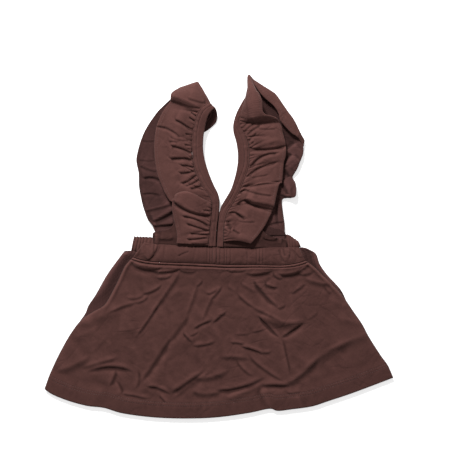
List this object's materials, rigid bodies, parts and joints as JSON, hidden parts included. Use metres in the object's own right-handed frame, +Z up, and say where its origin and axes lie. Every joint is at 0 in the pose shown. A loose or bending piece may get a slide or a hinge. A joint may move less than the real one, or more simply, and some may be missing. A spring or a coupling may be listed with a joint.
{
  "type": "toddler's ruffled pinafore dress in sweatshirt cloth",
  "caption": "Sleeveless toddler dress laid flat: flared skirt with a deep hem, elastic waistband, V neck and shoulder straps with a gathered ruffle along each neckband.",
  "frame": {"origin": "middle of the flat-laid dress, on the surface that it lies on", "axes": "+X across the dress, +Y from the hem to the shoulders, +Z up off the surface"},
  "size_m": [0.437, 0.4288, 0.023],
  "materials": {
    "terry_face": "matte brown French terry, right side",
    "terry_wrong_side": "matte brown French terry, wrong side and shaded back panels",
    "thread": "matte brown sewing thread"
  },
  "bodies": {
    "root": {"skirt_front": "terry_face", "skirt_back": "terry_wrong_side", "waistband_front": "terry_face", "waistband_back": "terry_face", "neckband_left": "terry_face", "neckband_right": "terry_face", "bodice_front_left": "terry_face", "bodice_front_right": "terry_face", "bodice_back_left": "terry_wrong_side", "bodice_back_right": "terry_wrong_side", "ruffle_left": "terry_face", "ruffle_right": "terry_face"}
  },
  "joints": []
}
